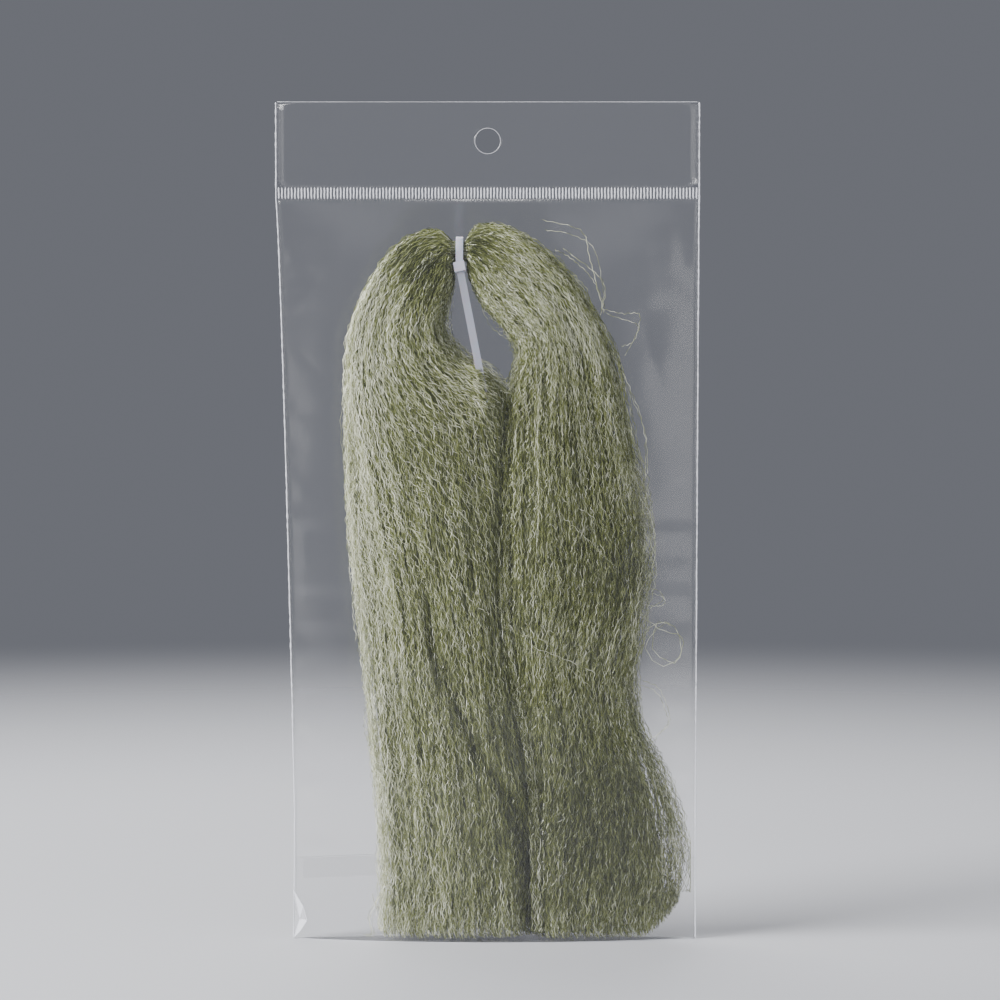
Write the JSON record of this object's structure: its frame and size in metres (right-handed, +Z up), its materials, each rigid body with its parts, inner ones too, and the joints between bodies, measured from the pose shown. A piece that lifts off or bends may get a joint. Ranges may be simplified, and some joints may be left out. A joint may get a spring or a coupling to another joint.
{
  "type": "bagged fibre hank",
  "caption": "Hank of crimped fly-tying fibre folded over a small cable tie, in a clear film hang bag with a ribbed header weld and a closing flap.",
  "frame": {"origin": "middle of the bottom crease that the bag stands on, centre of the object's box in X and Y", "axes": "+Z up the bag to the hang hole, +X across it to the right seen from the front, front face towards -Y"},
  "size_m": [0.1, 0.0182, 0.1976],
  "materials": {
    "clear_film": "clear oriented polypropylene film, glossy",
    "film_weld": "film fused white at a weld or a sharp fold",
    "adhesive": "clear tacky adhesive with a light haze",
    "nylon": "natural moulded nylon, slightly translucent",
    "fibre": "shiny crimped synthetic fibre, olive"
  },
  "bodies": {
    "bag": {"header_front_layer": "clear_film", "header_back_layer": "clear_film", "header_seal_ribs": "film_weld", "front_film": "clear_film", "back_film": "clear_film", "left_side_weld": "film_weld", "right_side_weld": "film_weld", "bottom_fold": "clear_film", "corner_tuck": "film_weld"},
    "flap": {"closing_flap": "clear_film", "adhesive_strip": "adhesive"},
    "hank": {"hank_neck": "fibre", "right_lock": "fibre", "right_fringe": "fibre", "tie_head": "nylon", "tie_loop": "nylon", "tie_tail": "nylon"},
    "left_half": {"left_lock": "fibre", "left_inner_lock": "fibre"},
    "pawl": {"tie_pawl": "nylon"}
  },
  "joints": [
    {"name": "flap_hinge", "type": "hinge", "parent": "bag", "child": "flap", "pos_m": [0, 0.00726, 0], "axis": [-1, 0, 0], "range_deg": [0, 80]},
    {"name": "hank_slip", "type": "slide", "parent": "bag", "child": "hank", "axis": [0, 0, 1], "range_m": [0, 0.002]},
    {"name": "left_half_swing", "type": "hinge", "parent": "hank", "child": "left_half", "pos_m": [-0.00827, 0, 0.1625], "axis": [0, 1, 0], "range_deg": [0, 2.5]},
    {"name": "pawl_flex", "type": "hinge", "parent": "hank", "child": "pawl", "pos_m": [-0.00668, -0.00204, 0.15931], "axis": [0.9816, 0, 0.1908], "range_deg": [0, 10], "stiffness_Nm_per_rad": 0.0005}
  ]
}
